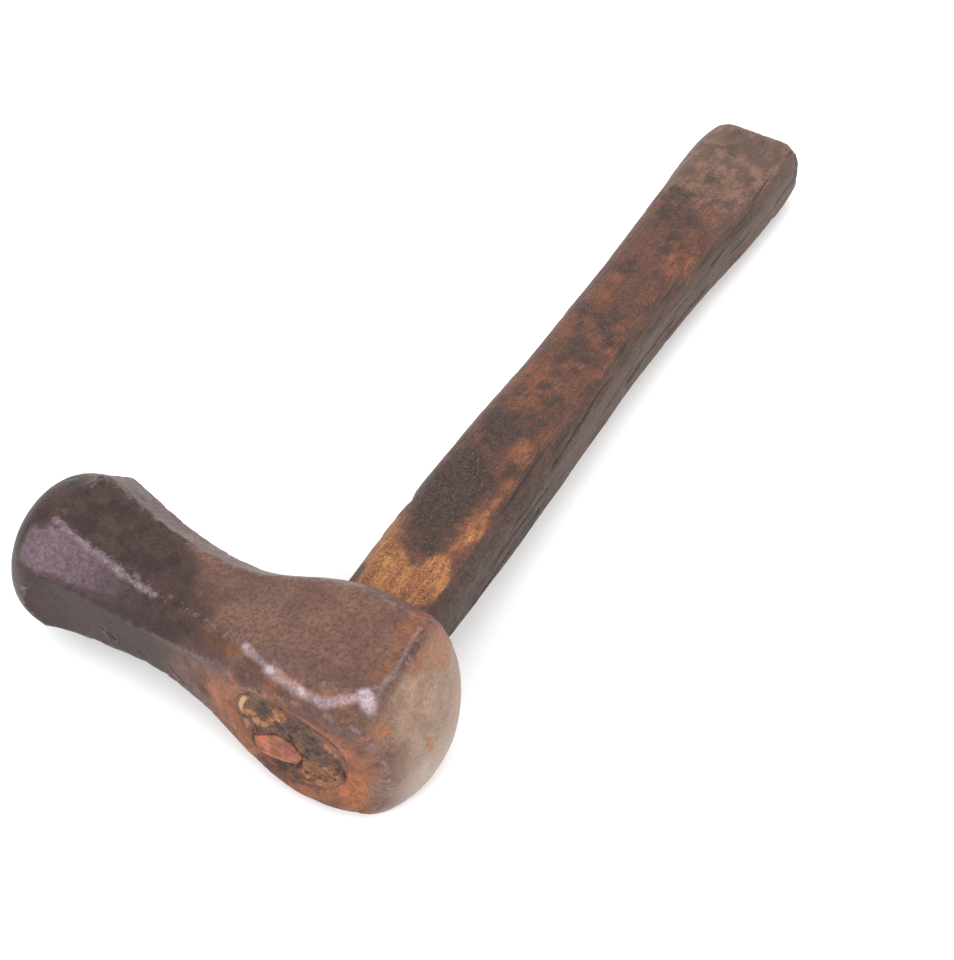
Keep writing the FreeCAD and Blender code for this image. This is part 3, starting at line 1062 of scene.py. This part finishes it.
def old_wood(r, grain, cloud, blotch, grit):
    """Red-brown wood, paler towards the butt and greyer on the side."""
    red = r.blend(r.span(blotch, 0.38, 0.62), colour(44, 28, 23), colour(106, 64, 46))
    red = r.blend(r.span(cloud, 0.4, 0.6, 0, 0.6), red, colour(90, 54, 38))
    red = r.blend(r.span(grit, 0.44, 0.62, 0, 0.8), red, colour(52, 34, 28))
    late = r.blend(r.span(blotch, 0.38, 0.62), colour(78, 56, 45), colour(122, 91, 75))
    late = r.blend(r.span(grit, 0.44, 0.62, 0, 0.6), late, colour(74, 54, 46))
    side = r.blend(r.span(grain, 0.35, 0.6), colour(42, 29, 23), colour(70, 51, 42))
    base = r.blend(r.broken("pale_end", cloud, 0.8, 0.4), red, late)
    return r.blend(r.times(r.broken("side", blotch, 0.6, 0.4), 0.8), base, side)


def golden_wood(r, grain, lines, grit, flecks):
    """Clean wood, warmer and darker where the golden patches are weak."""
    stain = r.noise(3.2, 5, 0.7, stretch=(1, 2.6, 1))
    golden = r.blend(r.span(stain, 0.36, 0.62), colour(166, 110, 64), colour(120, 70, 40))
    golden = r.blend(r.span(lines, 0.40, 0.62, 0, 0.4), golden, colour(84, 48, 29))
    golden = r.blend(r.span(grit, 0.46, 0.62, 0, 0.7), golden, colour(78, 47, 30))
    golden = r.blend(r.span(flecks, 0.55, 0.66, 0, 0.6), golden, colour(196, 146, 92))
    warm = r.blend(r.span(grain, 0.35, 0.62), colour(88, 50, 32), colour(128, 76, 46))
    return r.blend(r.span(r.field("gold"), 0.45, 0.75), warm, golden)


def end_of_handle(r, base, blotch, grit):
    """Pale and dark fibres of the end grain, with rust and a pale lip on its rim."""
    end = r.field("end_grain")
    fibre = r.field("fibre")
    base = r.blend(r.times(end, r.span(fibre, 0.58, 0.85, 0, 0.28)), base, colour(118, 78, 50))
    base = r.blend(r.times(end, r.span(fibre, 0.42, 0.2, 0, 0.5)), base, colour(40, 28, 24))
    base = r.blend(r.times(r.broken("rust_rim", blotch, 1.2, 0.4), 0.8), base, colour(98, 58, 41))
    return r.blend(r.broken("lip", grit, 1.2, 0.3), base, colour(160, 126, 84))


def wedge_iron_material():
    """The iron wedge under even salmon-brown rust."""
    r = Recipe("wedge_iron")
    blotch = r.noise(4, 5, 0.6)
    fine = r.noise(0.7, 4, 0.65)
    base = r.blend(r.span(blotch, 0.36, 0.64), colour(104, 58, 41), colour(152, 94, 70))
    base = r.blend(r.span(fine, 0.46, 0.66, 0, 0.55), base, colour(88, 54, 44))
    base = r.blend(r.times(r.field("bright"), 0.6), base, colour(170, 74, 50))
    base = r.blend(r.field("dark"), base, colour(50, 34, 30))
    r.bump(blotch, 0.25)
    r.bump(fine, 0.15)
    return r.done(base, r.span(fine, 0.3, 0.7, 0.55, 0.7), 0.1, 0.25)


def wedge_wood_material():
    """The wooden wedge's crushed tan end."""
    r = Recipe("wedge_wood")
    streak = r.noise(0.7, 4, 0.6, stretch=(7, 4, 1), turn=(0, 12, 0))
    blotch = r.noise(2.6, 5, 0.7)
    base = r.blend(r.span(streak, 0.35, 0.65), colour(66, 40, 28), colour(116, 76, 48))
    base = r.blend(r.times(r.field("gold"), 0.4), base, colour(140, 92, 54))
    base = r.blend(r.span(blotch, 0.50, 0.62, 0, 0.7), base, colour(60, 44, 36))
    base = r.blend(r.times(r.field("crack"), 0.8), base, colour(42, 30, 26))
    r.bump(streak, 0.12)
    return r.done(base, 0.66, 0.0, 0.35)


def floor_material():
    """An almost even pale floor."""
    r = Recipe("studio_floor")
    cloud = r.noise(160, 2, 0.5)
    base = r.blend(r.span(cloud, 0.3, 0.7), (0.90, 0.90, 0.90, 1), (0.93, 0.93, 0.93, 1))
    return r.done(base, 0.85, 0.0, 0.2)


# ---------------------------------------------------------------- studio

def make_floor():
    """A square of floor under the part, with no place in the part itself."""
    s = FLOOR_HALF_WIDTH
    mesh = bpy.data.meshes.new("floor")
    mesh.from_pydata([(-s, -s, 0), (s, -s, 0), (s, s, 0), (-s, s, 0)], [], [(0, 1, 2, 3)])
    mesh.materials.append(floor_material())
    linked("floor", mesh)


def direction_from(azimuth, elevation):
    """The direction of something round to the right of the front by azimuth, in degrees."""
    a, e = math.radians(azimuth), math.radians(elevation)
    return Vector((math.sin(a) * math.cos(e), -math.cos(a) * math.cos(e), math.sin(e)))


def area_light(name, azimuth, elevation, distance, size, watts):
    """A square soft light, aimed at the middle of the part."""
    light = bpy.data.lights.new(name, "AREA")
    light.shape = "SQUARE"
    light.size = size
    light.energy = watts
    lamp = linked(name, light)
    direction = direction_from(azimuth, elevation)
    lamp.location = cad_centre + direction * distance
    lamp.rotation_euler = direction.to_track_quat("Z", "Y").to_euler()


def make_studio():
    """White surroundings and the soft lights."""
    world = bpy.data.worlds.new("studio")
    bpy.context.scene.world = world
    world.use_nodes = True
    background = world.node_tree.nodes["Background"]
    background.inputs["Color"].default_value = (1, 1, 1, 1)
    background.inputs["Strength"].default_value = SKY_STRENGTH
    for light in LIGHTS:
        area_light(*light)
    bpy.context.scene.view_settings.view_transform = "Standard"


def make_camera():
    """The camera at the photograph's angle."""
    data = bpy.data.cameras.new("camera")
    data.sensor_width = 36
    data.sensor_fit = "AUTO"
    data.lens = CAMERA_LENS
    camera = linked("camera", data)
    target = cad_centre + LOOK_FROM_BOX_CENTRE
    back = direction_from(CAMERA_AZIMUTH, CAMERA_ELEVATION)
    camera.location = target + back * CAMERA_DISTANCE
    aim = back.to_track_quat("Z", "Y").to_matrix().to_4x4()
    roll = Matrix.Rotation(math.radians(CAMERA_ROLL), 4, "Z")
    camera.matrix_world = Matrix.Translation(camera.location) @ aim @ roll
    bpy.context.scene.camera = camera


make_head()
make_handle()
make_steel_wedge()
make_wooden_wedge()
make_floor()
make_studio()
make_camera()
